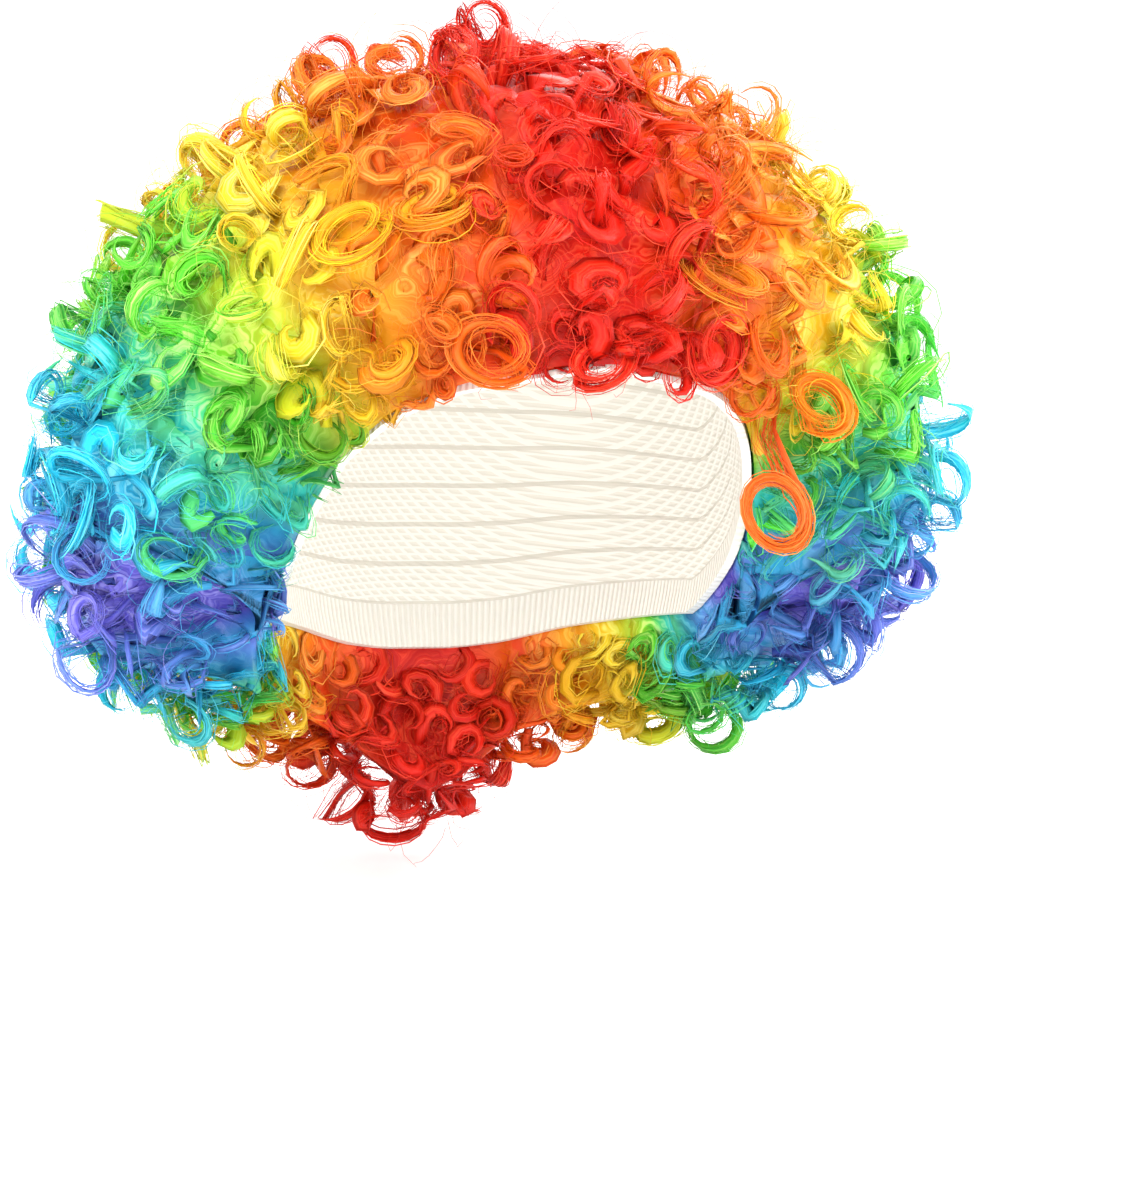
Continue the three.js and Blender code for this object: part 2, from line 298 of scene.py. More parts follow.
# Single curls that stand out.
standoutCurls = {
    **outerCurls,
    "room": 0.011,  # kept free of other feet
    "standing": 1,
    "flat": (0.45, 0.7),
    "core": {"each": 1, "wide": 0.65, "thick": 0.0012, "sides": 4, "steps": 28, "fray": 0.0002, "girth": 1.6},
    "hairs": {"each": 28, "wide": 0, "thick": 0.0004, "sides": 3, "steps": 26, "fray": 0.0011, "girth": 0.2},
    # foot (stripe place, turn), coil's middle, radius, band, turns, colour from the inner and outer stripe
    "each": (
        ((1.90, 37), (1.90, 36), 0.0130, 0.0070, 1.6, (0.3, 0.0)),
        ((-0.10, 38), (-0.12, 34), 0.0105, 0.008, 1.8, (0.0, 0.0)),
        ((-1.10, 43), (-1.04, 37), 0.0125, 0.007, 1.4, (0.2, 0.0)),
        ((-1.86, 63), (-1.91, 59), 0.0130, 0.007, 1.5, (0.0, 0.9)),
        ((0.90, 43), (0.96, 38), 0.0120, 0.009, 1.5, (0.0, 0.0)),
        ((-1.40, 62), (-1.36, 58), 0.0130, 0.008, 1.6, (0.0, 0.3)),
        ((1.15, 54), (1.09, 49), 0.0130, 0.008, 1.6, (0.1, 0.2)),
        ((2.50, 46), (2.55, 41), 0.0115, 0.007, 1.4, (0.9, 0.0)),
        ((-4.90, 73), (-4.90, 68), 0.0125, 0.008, 1.5, (0.0, 0.0)),
        ((-0.30, 96), (-0.30, 98), 0.0085, 0.004, 1.3, (0.0, 0.0)),
        ((-1.20, 106), (-1.26, 108), 0.0095, 0.004, 1.3, (0.9, 0.0)),
    ),
    # coils that hang or fly away from their feet: how far, and where they face
    "loose": {
        0: {"moved": (0.004, 0.002, -0.033), "faces": (-0.35, -0.92, 0.16)},
        7: {"moved": (0.000, -0.004, 0.000), "faces": (0.15, -0.95, 0.25)},
        9: {"moved": (0.002, -0.004, 0.015), "faces": (-0.50, -0.80, 0.30)},
        10: {"moved": (-0.006, -0.002, 0.014), "faces": (-0.20, -0.95, 0.25)},
    },
}
# How coils stand or lie. A lean is in radians off the way that the curl faces.
coilForm = {
    "standingLean": (0.0, 0.6),
    "lyingLean": (0.8, 1.55),
    "lyingFlat": (0.0, 0.35),
    "lyingLift": 0.001,
    "oval": (-0.2, 0.2),
}
# The lock of hair in a coil, in shares of its length, depth or fray unless noted.
lock = {
    "rootPart": 0.16,  # from its root to its coil
    "rootDeep": 0.007,  # metres
    "rootSpread": 0.003,  # metres
    "rootThick": 0.4,
    "tipThick": 0.1,
    "tighten": 0.3,  # of the coil's radius, lost towards the tip
    "leastRadius": 0.001,  # metres
    "narrows": 0.6,  # of the band, towards the tip
    "inset": 0.3,
    "strays": 0.12,  # of the hairs
    "strayFray": 2.4,
    "bandFray": 0.8,
    "axisFray": 0.6,
    "waveFray": 0.5,
    "turnsVary": 0.16,
    "startVaries": 0.03,
    "thickVaries": 0.25,
    # shares of the painted highlight colour in each hair's streaks
    "light": 0.55,
    "lightVaries": 0.25,
    "curlsVary": 0.14,
    "darkHairs": 0.45,
    # painted shade at the root: the share of body colour left there
    "rootDark": 0.25,
    "tintVaries": 0.4,
}
# Colours that curls take from other stripes, and the painted shade at the hairline.
dyeAndShade = {
    "reach": 0.4,  # stripes from a border
    "rare": 1.5,  # above 1, few curls take much
    "most": 0.75,
    "blueInViolet": 0.9,
    "rimFades": (6, 12),  # degrees above the hairline
    "rimBlue": 0.8,
    "rimViolet": 0.4,
    "rimVaries": 0.4,
    "scramble": 7,  # so that a curl's dye doesn't follow its tone
    "earEdge": 6,  # how sharply the rim's dye ends behind the ears
    # painted shade: curls at the hairline take the dark colour, fading out above it
    "shadeFades": (2, 16),  # degrees above the hairline
    "shade": 0.4,
}
hairRng = np.random.default_rng(11)


def between(pair, count):
    return hairRng.uniform(pair[0], pair[1], count)


# Points with no two too near, the first ones win.
def thinned(points, apart):
    taken = []
    for n, point in enumerate(points):
        if not taken or ((points[taken] - point) ** 2).sum(-1).min() > apart**2:
            taken.append(n)
    return taken


def ballWays(count):
    i = np.arange(count) + 0.5
    height = 1 - 2 * i / count
    angle = i * np.pi * (3 - math.sqrt(5))
    level = np.sqrt(1 - height**2)
    return np.stack([level * np.cos(angle), level * np.sin(angle), height], -1)


# Feet of curls: all over the hair, along the hairline, and inside the nape under the cap.
def spreadFeet(layer):
    ways = ballWays(layer["tries"])
    ways = hairRng.permutation(ways[aboveHairline(ways) > layer["above"]])
    feet = ways * hairOutside(ways)[:, None]
    taken = thinned(feet, layer["apart"])
    return {"ways": ways[taken], "foot": feet[taken], "out": ways[taken]}


def rimFeet(layer):
    ways = ballWays(layer["tries"])
    above = aboveHairline(ways)
    ways = hairRng.permutation(ways[(above > layer["above"][0]) & (above < layer["above"][1])])
    inside = hairInside(ways)
    share = between(layer["within"], len(ways))
    feet = ways * (inside + share * (hairOutside(ways) - inside))[:, None]
    taken = thinned(feet, layer["apart"])
    ways, feet, share = ways[taken], feet[taken], share[taken]
    down = np.array((0, 0, -1.0)) + ways * ways[:, 2:]
    out = unit(ways * (layer["outward"] + share)[:, None] + layer["droop"] * unit(down))
    return {"ways": ways, "foot": feet, "out": out}


def napeFeet(layer):
    ways = ballWays(layer["tries"])
    under = (aboveHairline(ways, "capEnds") < -layer["underCap"]) & (aboveHairline(ways) > layer["above"])
    ways = hairRng.permutation(ways[under])
    feet = ways * (hairInside(ways) + layer["off"])[:, None]
    taken = thinned(feet, layer["apart"])
    return {"ways": ways[taken], "foot": feet[taken], "out": -ways[taken]}


def standoutFeet(layer):
    footAt, coilAt, coil, deep, turns, tint = (np.array(column) for column in zip(*layer["each"]))
    feetWays, coilWays = wayAt(*footAt.T), wayAt(*coilAt.T)
    feet = feetWays * hairOutside(feetWays)[:, None]
    hang = coilWays * hairOutside(coilWays)[:, None] - feet
    for at, loose in layer["loose"].items():
        hang[at] += loose["moved"]
        coilWays[at] = unit(np.array(loose["faces"]))
    curls = shapeCurls({"ways": feetWays, "foot": feet, "out": coilWays, "hang": hang}, layer)
    return {**curls, "coil": coil, "deep": deep, "turns": turns, "tint": tint, "depth": np.ones(len(feet))}


# Clears the room round the curls that stand out.
def besides(curls, standouts):
    hearts = standouts["foot"] + standouts["hang"]
    near = np.linalg.norm(curls["foot"][:, None] - hearts, axis=-1).min(1)
    return {key: value[near > standoutCurls["room"]] for key, value in curls.items()}


# Some coils stand on the head and show a ring, the others lie over and show their side.
def shapeCurls(feet, layer):
    out = feet["out"]
    n = len(out)
    stands = hairRng.random(n) < layer["standing"]
    lean = np.where(stands, between(coilForm["standingLean"], n), between(coilForm["lyingLean"], n))
    aside = unit(np.cross(out, unit(hairRng.normal(size=(n, 3)))))
    feet["axis"] = unit(out * np.cos(lean)[:, None] + aside * np.sin(lean)[:, None])
    for key in ("coil", "turns", "rise", "deep", "lift"):
        feet[key] = between(layer[key], n)
    feet["lift"] = feet["lift"] + coilForm["lyingLift"] * np.sin(lean)
    feet["flat"] = np.where(stands, between(layer["flat"], n), between(coilForm["lyingFlat"], n))
    feet["oval"] = between(coilForm["oval"], n)
    feet["phase"] = between((0, 2 * np.pi), n)
    feet["hand"] = np.where(hairRng.random(n) < 0.5, -1.0, 1.0)
    feet["tone"] = hairRng.normal(size=n)
    places, above = placeOf(feet["ways"])[0], aboveHairline(feet["ways"])
    feet["tint"] = borderTint(places)
    # beside the ears the front hairline is dyed like the next stripe in
    full, gone = dyeAndShade["rimFades"]
    atRim = smooth((gone - above) / (gone - full)) * smooth(0.5 - dyeAndShade["earEdge"] * feet["ways"][:, 1])
    varied = 1 - dyeAndShade["rimVaries"] + dyeAndShade["rimVaries"] * np.sin(dyeAndShade["scramble"] * feet["tone"])
    inViolet, inBlue = np.abs(places) > 5, np.abs(places) > 4
    taken = np.select([inViolet, inBlue], [dyeAndShade["rimViolet"], dyeAndShade["rimBlue"]]) * varied
    feet["tint"][:, 0] = np.maximum(feet["tint"][:, 0], atRim * taken)
    # the hairline lies in its own shade, painted into the curls' colour
    full, gone = dyeAndShade["shadeFades"]
    feet["depth"] = dyeAndShade["shade"] + (1 - dyeAndShade["shade"]) * smooth((above - full) / (gone - full))
    feet.setdefault("hang", np.zeros((n, 3)))
    return feet


# How much a curl takes of the colours of the stripes on either side.
def borderTint(places):
    share = np.abs(places) % 1
    rare = dyeAndShade["rare"]
    innerSide = np.clip(1 - share / dyeAndShade["reach"], 0, 1) * hairRng.random(len(places)) ** rare
    outerSide = np.clip(1 - (1 - share) / dyeAndShade["reach"], 0, 1) * hairRng.random(len(places)) ** rare
    blueInViolet = dyeAndShade["blueInViolet"] * (1 - share) * hairRng.random(len(places))
    innerSide = np.where(np.abs(places) > 5, blueInViolet, innerSide)
    return np.stack([innerSide, outerSide], -1) * dyeAndShade["most"]


standouts = standoutFeet(standoutCurls)
curlSets = [
    (besides(shapeCurls(spreadFeet(outerCurls), outerCurls), standouts), outerCurls),
    (shapeCurls(spreadFeet(underCurls), underCurls), underCurls),
    (besides(shapeCurls(rimFeet(rimCurls), rimCurls), standouts), rimCurls),
    (shapeCurls(napeFeet(napeCurls), napeCurls), napeCurls),
    (standouts, standoutCurls),
]
print("curls:", [len(curls["foot"]) for curls, _ in curlSets])


def sweepRings(path, side, width, thick, sides):
    along = unit(np.gradient(path, axis=1))
    side = unit(side - (side * along).sum(-1, keepdims=True) * along)
    flat = np.cross(along, side)
    turn = np.arange(sides) * 2 * np.pi / sides
    across = np.cos(turn) * width[..., None] / 2
    up = np.sin(turn) * thick[..., None] / 2
    return path[:, :, None] + across[..., None] * side[:, :, None] + up[..., None] * flat[:, :, None]


# Keeps strands out of the hollow for the head.
strandGap = 0.0008


def offTheHead(path):
    far = np.linalg.norm(path, axis=-1, keepdims=True)
    ways = path / np.maximum(far, 1e-9)
    return ways * np.maximum(far, (hairInside(ways) + strandGap)[..., None])


def waves(count, steps, size):
    t = np.linspace(0, 1, steps)
    total = np.zeros((count, steps))
    for pace in (0.8, 1.7, 2.9):
        phase = hairRng.random((count, 1))
        total += np.sin(2 * np.pi * (pace * t + phase)) * hairRng.normal(size=(count, 1)) / pace
    return total * size


def curlStrands(pile, curls, hairs):
    each, steps = hairs["each"], hairs["steps"]
    n = len(curls["foot"])
    count = n * each
    c = {key: np.repeat(value, each, axis=0) for key, value in curls.items()}
    t = np.concatenate([(0, lock["rootPart"] / 2), np.linspace(lock["rootPart"], 1, steps - 2)])
    share = (np.tile(np.arange(each), n) + 0.5) / each - 0.5
    jitter = hairRng.normal(size=(count, 6))
    strays = hairRng.random(count) < lock["strays"]
    loose = hairs["fray"] * np.where(strays, lock["strayFray"], lock["bandFray"])
    # places across the band, which narrows to its tip: along the axis or, in a flat coil, along the radius
    across = (share * c["deep"])[:, None] * (1 - lock["narrows"] * smooth((t - 0.45) / 0.55))
    inFlat = (across - lock["inset"] * c["deep"][:, None]) * c["flat"][:, None]
    radius = c["coil"][:, None] * (1 - lock["tighten"] * t) + (loose * jitter[:, 0])[:, None] + inFlat
    radius = np.abs(radius + waves(count, steps, lock["waveFray"]) * loose[:, None]) + lock["leastRadius"]
    level = c["rise"][:, None] * (t - 0.5) + across * (1 - c["flat"][:, None])
    level = level + (loose * lock["axisFray"] * jitter[:, 1])[:, None]
    level = level + waves(count, steps, lock["waveFray"]) * loose[:, None]
    turns = c["turns"] * (1 + lock["turnsVary"] * np.clip(jitter[:, 2], -2, 0.4))
    wound = c["hand"][:, None] * 2 * np.pi * turns[:, None] * (t + lock["startVaries"] * jitter[:, 3:4])
    turned = c["phase"][:, None] + wound
    axis = c["axis"]
    first = unit(np.cross(axis, c["out"] + 1e-4))
    second = np.cross(axis, first)
    radial = first[:, None] * (np.cos(turned) * (1 + c["oval"][:, None]))[..., None]
    radial = radial + second[:, None] * (np.sin(turned) * (1 - c["oval"][:, None]))[..., None]
    heart = c["foot"] + c["hang"] + c["out"] * c["lift"][:, None]
    path = heart[:, None] + radial * radius[..., None] + axis[:, None] * level[..., None]
    root = c["foot"] - c["out"] * lock["rootDeep"] + lock["rootSpread"] * jitter[:, 2:5]
    rooted = smooth(t / lock["rootPart"])[:, None]
    path = root[:, None] * (1 - rooted) + path * rooted
    path = offTheHead(path)
    fromRoot = lock["rootThick"] + (1 - lock["rootThick"]) * smooth(t / 0.25)
    taper = fromRoot * (1 - (1 - lock["tipThick"]) * smooth((t - 0.5) / 0.5))
    thick = hairs["thick"] * taper * np.exp(lock["thickVaries"] * jitter[:, 4:5])
    width = np.maximum(thick, hairs["wide"] * c["deep"][:, None] * taper)
    flat = c["flat"][:, None, None]
    rings = sweepRings(path, unit(axis[:, None] * (1 - flat) + flat * radial), width, thick, hairs["sides"])
    lengths = np.linalg.norm(np.diff(path, axis=1), axis=-1).sum(-1)
    tones = np.empty((count, steps, hairs["sides"], 4))
    # channel 0: share of the painted highlight colour in each hair's streaks
    light = lock["light"] + lock["lightVaries"] * jitter[:, 0] + lock["curlsVary"] * c["tone"]
    tones[..., 0] = np.clip(light, 0, 1)[:, None, None]
    # channel 1: painted shade at the hairline and at the roots, with darker hairs at random
    shade = c["depth"] * (1 + lock["darkHairs"] * np.clip(jitter[:, 1], -1.2, 0))
    fromRoot = lock["rootDark"] + (1 - lock["rootDark"]) * smooth(t / 0.3)
    tones[..., 1] = (shade[:, None] * fromRoot)[..., None]
    tones[..., 2:] = (c["tint"] * np.clip(1 + lock["tintVaries"] * jitter[:, 5:6], 0, 1.3))[:, None, None]
    addTubes(pile, rings, np.clip(tones, 0, 1), lengths, hairs["girth"])


# Short loose hair between the curls and along the hairline.
frizz = {
    "count": 5600,
    "above": 2,  # degrees over the hairline
    "foot": (-0.004, 0.006),  # off the backing
    "long": (0.012, 0.032),
    "curl": (0.2, 0.8),  # whole turns
    "lift": 0.004,
    "wave": 0.0016,
    "thick": 0.00027,
    "tipThin": 0.6,
    "sides": 3,
    "steps": 7,
    # share of the painted highlight colour, and the painted shade at the roots
    "light": (0.6, 1),
    "rootDark": 0.6,
    "girth": 0.2,
}
frizzWays = unit(np.random.default_rng(5).normal(size=(frizz["count"], 3)))
frizzWays = frizzWays[aboveHairline(frizzWays) > frizz["above"]]
frizzPlaces = placeOf(frizzWays)[0]


def looseHair(pile, low, high):
    mine = (frizzPlaces > low) & (frizzPlaces <= high)
    ways = frizzWays[mine]
    n = len(ways)
    steps = frizz["steps"]
    t = np.linspace(0, 1, steps)
    foot = ways * (hairOutside(ways) + between(frizz["foot"], n))[:, None]
    aside = unit(np.cross(ways, unit(hairRng.normal(size=(n, 3)))))
    over = np.cross(ways, aside)
    bend = 2 * np.pi * between(frizz["curl"], n)[:, None] * t
    long = between(frizz["long"], n)
    size = long[:, None] / np.maximum(bend[:, -1:], 0.5)
    path = foot[:, None] + ways[:, None] * (size * np.sin(bend) + frizz["lift"] * t)[..., None]
    path = path + aside[:, None] * (size * (1 - np.cos(bend)))[..., None]
    path = path + over[:, None] * (waves(n, steps, frizz["wave"]) * t)[..., None]
    thin = np.broadcast_to(frizz["thick"] * (1 - frizz["tipThin"] * t), (n, steps))
    side = np.broadcast_to(over[:, None], path.shape)
    rings = sweepRings(offTheHead(path), side, thin, thin, frizz["sides"])
    tones = np.zeros((n, steps, frizz["sides"], 4))
    # painted highlight share, and painted shade at the roots
    tones[..., 0] = between(frizz["light"], n)[:, None, None]
    tones[..., 1] = (frizz["rootDark"] + (1 - frizz["rootDark"]) * t)[:, None]
    tones[..., 2:] = borderTint(frizzPlaces[mine])[:, None, None]
    addTubes(pile, rings, tones, long, frizz["girth"])


# The mat of hair under the curls, from the cap to a little under their feet, ending short of the hairline.
hairMat = {
    "columns": 6,
    "steps": 90,
    "under": 0.002,  # the feet of the curls
    "rough": 0.0018,
    "short": 4.5,  # degrees, of the hairline
    "thinned": 22,  # degrees over which it gets its whole depth
    "recess": 0.008,  # inside the nape, for the curls there
    "recessOver": 8,  # degrees
    "least": 0.002,
    "off": 0.0006,  # from the cap's side of the hair
    "overlap": 0.03,  # stripes
    # painted shade towards the hairline
    "shade": 0.2,
    "shadeFades": (3, 19),  # degrees above the hairline
    "tint": 0.5,
    "tintReach": 0.45,  # stripes from a border
    "long": 0.4,
    "girth": 60,
}


def matRings(low, high):
    places = np.linspace(low - hairMat["overlap"], high + hairMat["overlap"], hairMat["columns"] + 1)
    allTurns = np.arange(-90, 270, 0.5)
    rows = []
    for place in places:
        hairy = allTurns[aboveHairline(wayAt(place, allTurns)) > hairMat["short"]]
        rows.append(np.linspace(hairy[0], hairy[-1], hairMat["steps"]))
    ways = wayAt(places[:, None], np.array(rows))
    recess = hairMat["recess"] * smooth(-aboveHairline(ways, "capEnds") / hairMat["recessOver"])
    inside = hairInside(ways) + hairMat["off"] + recess
    inner = ways * inside[..., None]
    rough = hairMat["rough"] * hairRng.normal(size=ways.shape[:2])
    thick = hairOutside(ways) - hairMat["under"] + rough - inside
    thick = thick * smooth(aboveHairline(ways) / hairMat["thinned"])
    outer = inner + ways * np.maximum(thick, hairMat["least"])[..., None]
    tones = np.zeros((*ways.shape[:2], 4))
    # channel 0: full share of the painted highlight colour
    tones[..., 0] = 1
    # channel 1: painted shade towards the hairline
    full, gone = hairMat["shadeFades"]
    faded = smooth((aboveHairline(ways) - full) / (gone - full))
    tones[..., 1] = hairMat["shade"] + (1 - hairMat["shade"]) * faded
    toEdge = [np.clip(1 - gap / hairMat["tintReach"], 0, 1) for gap in (places - low, high - places)]
    toInner, toOuter = toEdge if high > 0 else toEdge[::-1]
    if low * high < 0:  # the middle stripe has the same neighbour on both sides
        toInner, toOuter = np.zeros_like(toInner), np.maximum(toInner, toOuter)
    tones[..., 2] = hairMat["tint"] * toInner[:, None]
    tones[..., 3] = hairMat["tint"] * toOuter[:, None]
    rings = np.concatenate([outer, inner[::-1]]).transpose(1, 0, 2)[None]
    return rings, np.concatenate([tones, tones[::-1]]).transpose(1, 0, 2)[None]


def hairPiece(name, low, high, fromTurn=-91, toTurn=271):
    pile = newPile()
    if fromTurn < 0:
        rings, tones = matRings(low, high)
        addTubes(pile, rings, tones, np.array([hairMat["long"]]), hairMat["girth"], swirl=1)
    for curls, layer in curlSets:
        places, turns = placeOf(curls["ways"])
        mine = (places > low) & (places <= high) & (turns > fromTurn) & (turns <= toTurn)
        chosen = {key: value[mine] for key, value in curls.items()}
        curlStrands(pile, chosen, layer["core"])
        curlStrands(pile, chosen, layer["hairs"])
    if fromTurn < 0:
        looseHair(pile, low, high)
    return buildPile(pile, name)


# Colours: each stripe's body dye, its painted shade colour (dark) and its painted highlight colour (light)
hairBodyShadeHighlight = {
    "red": {"dark": dye(184, 11, 4), "body": dye(224, 32, 13), "light": dye(250, 98, 62)},
    "orange": {"dark": dye(210, 68, 6), "body": dye(234, 114, 15), "light": dye(255, 190, 92)},
    "yellow": {"dark": dye(204, 146, 8), "body": dye(246, 212, 34), "light": dye(255, 250, 140)},
    "green": {"dark": dye(30, 124, 24), "body": dye(98, 228, 52), "light": dye(226, 255, 150)},
    "blue": {"dark": dye(6, 102, 146), "body": dye(28, 208, 242), "light": dye(160, 248, 255)},
    "violet": {"dark": dye(44, 40, 138), "body": dye(116, 106, 222), "light": dye(196, 192, 252)},
}
stripeOrder = ("red", "orange", "yellow", "green", "blue", "violet")
hairLook = {
    "streaks": 10,  # for each whole step round a lock
    # painted highlight streaks in the light colour
    "lightStreaks": (0.44, 0.66),
    "lightShare": 0.85,
    # darker streaks between fibres, in the painted shade colour
    "darkStreaks": (0.46, 0.28),
    "darkShare": 0.4,
    "rough": (0.30, 0.52),
    "shine": 0.22,
    "bump": 0.5,
    "bumpHigh": 0.0006,
    # the mat's swirls of fibres
    "cells": 46,
    "warps": 90,
    "warpBy": 0.012,
    "rings": 20,
    "cellShift": 40,
    # painted shade at each swirl's middle and edge, lightest between
    "roll": ((0.0, 0.1), (0.16, 0.55), (0.34, 0.85), (0.52, 0.4), (0.68, 0.0)),
}


# Short ways to add nodes to a tree. A value is linked to a socket or set on it.
def nodeTools(tree):
    def put(value, socket):
        if hasattr(value, "is_output"):
            tree.links.new(value, socket)
        else:
            socket.default_value = value

    def node(kind, inputs=None, **settings):
        made = tree.nodes.new(kind)
        for key, value in settings.items():
            setattr(made, key, value)
        for key, value in (inputs or {}).items():
            put(value, made.inputs[key])
        return made

    def maths(operation, *values):
        return node("ShaderNodeMath", dict(enumerate(values)), operation=operation).outputs[0]

    def mixValue(share, a, b):
        return node("ShaderNodeMix", {"Factor": share, 2: a, 3: b}).outputs[0]

    def mixColour(share, a, b):
        return node("ShaderNodeMix", {"Factor": share, 6: a, 7: b}, data_type="RGBA").outputs[2]

    return put, node, maths, mixValue, mixColour


def newSocket(group, name, kind, inside=True):
    return group.interface.new_socket(name=name, in_out="INPUT" if inside else "OUTPUT", socket_type=kind)


# Shared by all hair: streaks along each lock, painted shade at the roots and the hairline, painted highlights
# that grow towards the tips, neighbours' colours at the borders.
def hairShadeGroup():
    group = bpy.data.node_groups.new("hairShade", "ShaderNodeTree")
    for name in ("Dark", "Body", "Light", "Inner", "Outer"):
        newSocket(group, name, "NodeSocketColor")
    newSocket(group, "Colour", "NodeSocketColor", False)
    newSocket(group, "Roughness", "NodeSocketFloat", False)
    newSocket(group, "Height", "NodeSocketFloat", False)
    put, node, maths, mixValue, mixColour = nodeTools(group)
    given = node("NodeGroupInput").outputs
    taken = node("NodeGroupOutput").inputs
    tone = node("ShaderNodeAttribute", attribute_name="tone").outputs
    light, depth, fromInner = node("ShaderNodeSeparateColor", {0: tone["Color"]}).outputs
    fromOuter = tone["Alpha"]
    swirl = node("ShaderNodeAttribute", attribute_name="swirl").outputs["Fac"]

    def fibreNoise(across, along):
        place = node("ShaderNodeCombineXYZ", {0: across, 1: along}).outputs[0]
        inputs = {"Vector": place, "Scale": 1, "Detail": 3}
        return node("ShaderNodeTexNoise", inputs, noise_dimensions="2D").outputs["Fac"]

    def mapped(value, ends, to=(0, 1)):
        inputs = {"From Min": ends[0], "From Max": ends[1], "To Min": to[0], "To Max": to[1]}
        return node("ShaderNodeMapRange", {"Value": value, **inputs}).outputs[0]

    # streaks along each lock
    strand = node("ShaderNodeUVMap", uv_map="strand").outputs[0]
    around, along, _ = node("ShaderNodeSeparateXYZ", {0: strand}).outputs
    lockFibres = fibreNoise(maths("MULTIPLY", around, hairLook["streaks"]), along)

    # rings of fibres round many middles, for the mat
    place = node("ShaderNodeTexCoord").outputs["Object"]
    warp = node("ShaderNodeTexNoise", {"Vector": place, "Scale": hairLook["warps"]}).outputs["Color"]
    warpBy = (hairLook["warpBy"],) * 3
    warped = node("ShaderNodeVectorMath", {0: warp, 1: warpBy, 2: place}, operation="MULTIPLY_ADD").outputs[0]
    cells = node("ShaderNodeTexVoronoi", {"Vector": warped, "Scale": hairLook["cells"]}).outputs
    ringAt = maths("MULTIPLY", cells["Distance"], hairLook["rings"])
    ringFibres = fibreNoise(ringAt, maths("MULTIPLY", cells["Color"], hairLook["cellShift"]))
    # the roll paints shade at each swirl's middle and edge and a painted highlight between
    roll = node("ShaderNodeValToRGB", {0: cells["Distance"]})
    stops = roll.color_ramp.elements
    for at, level in hairLook["roll"]:
        stop = stops[0] if at == 0 else stops.new(at)
        stop.color = (level, level, level, 1)

    fibre = mixValue(swirl, lockFibres, ringFibres)
    # painted shade: the dark colour at the roots, at the hairline and across each swirl of the mat
    rootShare = mixValue(swirl, depth, maths("MULTIPLY", roll.outputs[0], depth))
    colour = mixColour(rootShare, given["Dark"], given["Body"])
    # painted highlight: streaks in the light colour, away from the painted shade
    lit = maths("MULTIPLY", mapped(fibre, hairLook["lightStreaks"]), maths("MULTIPLY", light, rootShare))
    colour = mixColour(maths("MULTIPLY", lit, hairLook["lightShare"]), colour, given["Light"])
    # darker streaks between fibres, in the painted shade colour
    darkShare = maths("MULTIPLY", mapped(fibre, hairLook["darkStreaks"]), hairLook["darkShare"])
    colour = mixColour(darkShare, colour, given["Dark"])
    colour = mixColour(fromInner, colour, given["Inner"])
    colour = mixColour(fromOuter, colour, given["Outer"])
    put(colour, taken["Colour"])
    put(mapped(fibre, (0, 1), hairLook["rough"]), taken["Roughness"])
    put(maths("MULTIPLY_ADD", rootShare, swirl, fibre), taken["Height"])
    return group


hairShade = hairShadeGroup()


def hairMaterial(colour):
    at = stripeOrder.index(colour)
    inner, outer = stripeOrder[max(0, at - 1)], stripeOrder[min(5, at + 1)]
    # the body dye, the painted shade and painted highlight colours, and the neighbours' body dyes
    colourInputs = {name.title(): value for name, value in hairBodyShadeHighlight[colour].items()}
    colourInputs.update({"Inner": hairBodyShadeHighlight[inner]["body"], "Outer": hairBodyShadeHighlight[outer]["body"]})
    material = bpy.data.materials.new("hair_" + colour)
    material.use_nodes = True
    put, node = nodeTools(material.node_tree)[:2]
    shade = node("ShaderNodeGroup", colourInputs, node_tree=hairShade).outputs
    relief = {"Strength": hairLook["bump"], "Distance": hairLook["bumpHigh"], "Height": shade["Height"]}
    shader = material.node_tree.nodes["Principled BSDF"].inputs
    put(shade["Colour"], shader["Base Color"])
    put(shade["Roughness"], shader["Roughness"])
    put(node("ShaderNodeBump", relief).outputs[0], shader["Normal"])
    shader["Specular IOR Level"].default_value = hairLook["shine"]
    return material


def dress(piece, material, node):
    piece.data.materials.clear()
    piece.data.materials.append(material)
    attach(piece, "root")
    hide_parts(node)


red = hairMaterial("red")
redSplit = 104  # degrees of turn where the red stripe's two pieces meet
dress(hairPiece("curls_red_front", -1, 1, toTurn=redSplit), red, "hair_red")
dress(hairPiece("curls_red_back", -1, 1, fromTurn=redSplit), red, "hair_red")
for at, colour in enumerate(stripeOrder[1:], 1):
    material = hairMaterial(colour)
    for side, low in (("left", at), ("right", -at - 1)):
        piece = hairPiece(f"curls_{colour}_{side}", low, low + 1)
        dress(piece, material, f"hair_{colour}_{side}")


# The cap, a half ball drawn down to the hairline: an open net with sewn rows and a ribbed elastic edge.
cap = {
    "around": 96,
    "rings": 48,
    "rows": 15,  # of stitches that hold the hair
    "sharp": 40,  # degrees between faces that stay an edge
    "edge": 0.07,  # share of the way to the crown that is elastic
    "ribs": 260,
    "rowWide": 0.12,  # share of the way to the next row
    "net": 0.0024,  # between the net's threads
    "netGap": 0.72,  # share of the net that is gaps
    "netHigh": 0.6,  # of the stitches' height
    "bump": 0.6,
    "bumpHigh": 0.0008,
    "rough": 0.8,
    "shine": 0.2,
    "thread": dye(240, 237, 230),
    "gap": dye(228, 224, 214),
    "stitch": dye(214, 209, 198),
}


